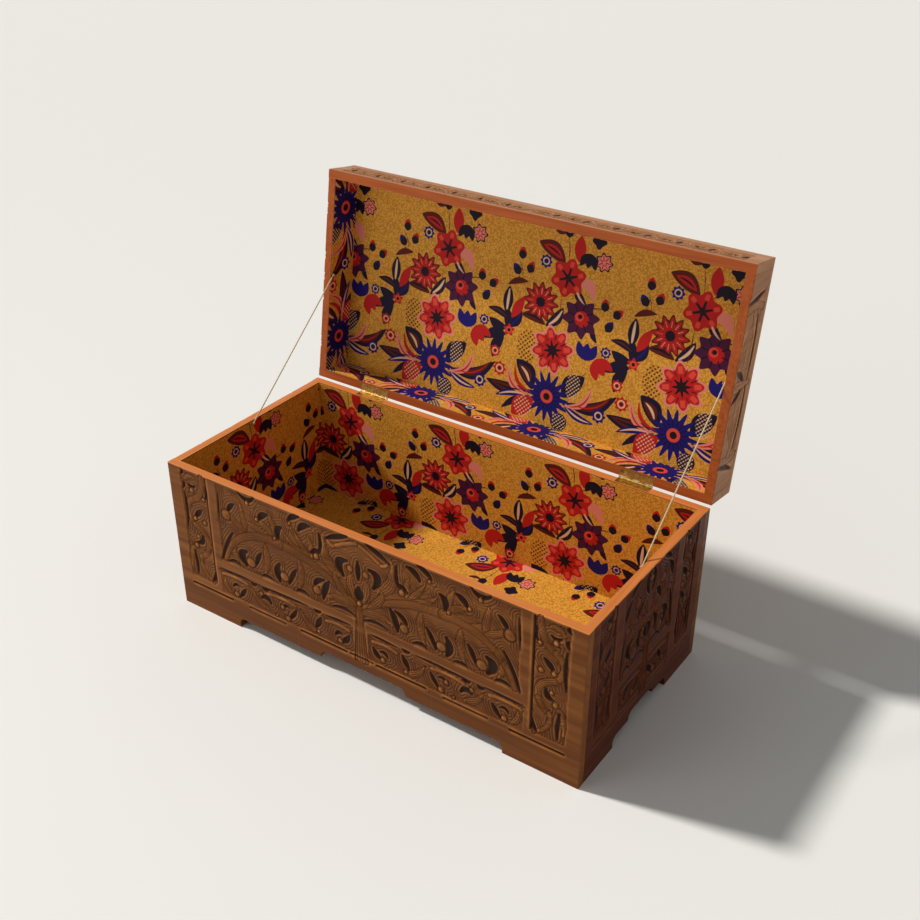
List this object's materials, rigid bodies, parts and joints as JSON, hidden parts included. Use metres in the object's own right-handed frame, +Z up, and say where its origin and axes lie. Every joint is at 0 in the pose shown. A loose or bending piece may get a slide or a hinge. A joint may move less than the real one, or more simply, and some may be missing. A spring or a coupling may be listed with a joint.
{
  "type": "carved dowry chest",
  "caption": "Rectangular carved wooden storage chest with a hinged lid held open by two cord stays, lined with floral cloth, on bracket feet.",
  "frame": {"origin": "on the ground, at the middle of the floor area that the open chest takes up; the case itself is centred on X and stands 85 mm towards the front", "axes": "+Z up, -Y towards the front, +X to the right-hand end seen from the front"},
  "size_m": [1, 0.6494, 0.8349],
  "materials": {
    "varnished_wood": "satin varnish on carved hardwood, orange brown",
    "raw_wood": "bare planed wood",
    "floral_lining": "printed cotton on a mustard ground, red, maroon and navy flowers",
    "hinge_brass": "brushed, slightly dulled",
    "brass_screws": "turned",
    "steel_pin": "drawn rod",
    "stay_cord": "twisted cotton cord, cream"
  },
  "bodies": {
    "chest": {"back_board": "varnished_wood", "back_cleat": "raw_wood", "back_lining": "floral_lining", "corner_dowels": "raw_wood", "floor_board": "raw_wood", "floor_lining": "floral_lining", "front_board": "varnished_wood", "front_cleat": "raw_wood", "front_lining": "floral_lining", "left_box_leaf_screws": "brass_screws", "left_cleat": "raw_wood", "left_end_board": "varnished_wood", "left_hinge_box_leaf": "hinge_brass", "left_hinge_pin": "steel_pin", "left_lining": "floral_lining", "left_stay_box_screw": "brass_screws", "left_stay_cord": "stay_cord", "right_box_leaf_screws": "brass_screws", "right_cleat": "raw_wood", "right_end_board": "varnished_wood", "right_hinge_box_leaf": "hinge_brass", "right_hinge_pin": "steel_pin", "right_lining": "floral_lining", "right_stay_box_screw": "brass_screws", "right_stay_cord": "stay_cord"},
    "lid": {"left_hinge_lid_leaf": "hinge_brass", "left_lid_leaf_screws": "brass_screws", "left_stay_lid_screw": "brass_screws", "lid_back_board": "varnished_wood", "lid_back_lining": "floral_lining", "lid_dowels": "raw_wood", "lid_front_board": "varnished_wood", "lid_front_lining": "floral_lining", "lid_left_end_board": "varnished_wood", "lid_left_lining": "floral_lining", "lid_right_end_board": "varnished_wood", "lid_right_lining": "floral_lining", "lid_top_board": "varnished_wood", "lid_top_lining": "floral_lining", "right_hinge_lid_leaf": "hinge_brass", "right_lid_leaf_screws": "brass_screws", "right_stay_lid_screw": "brass_screws"}
  },
  "joints": [
    {"name": "lid_hinge", "type": "hinge", "parent": "chest", "child": "lid", "pos_m": [0, 0.1585, 0.35775], "axis": [1, 0, 0], "range_deg": [0, 99], "deforming": ["left_stay_cord", "right_stay_cord"]}
  ]
}
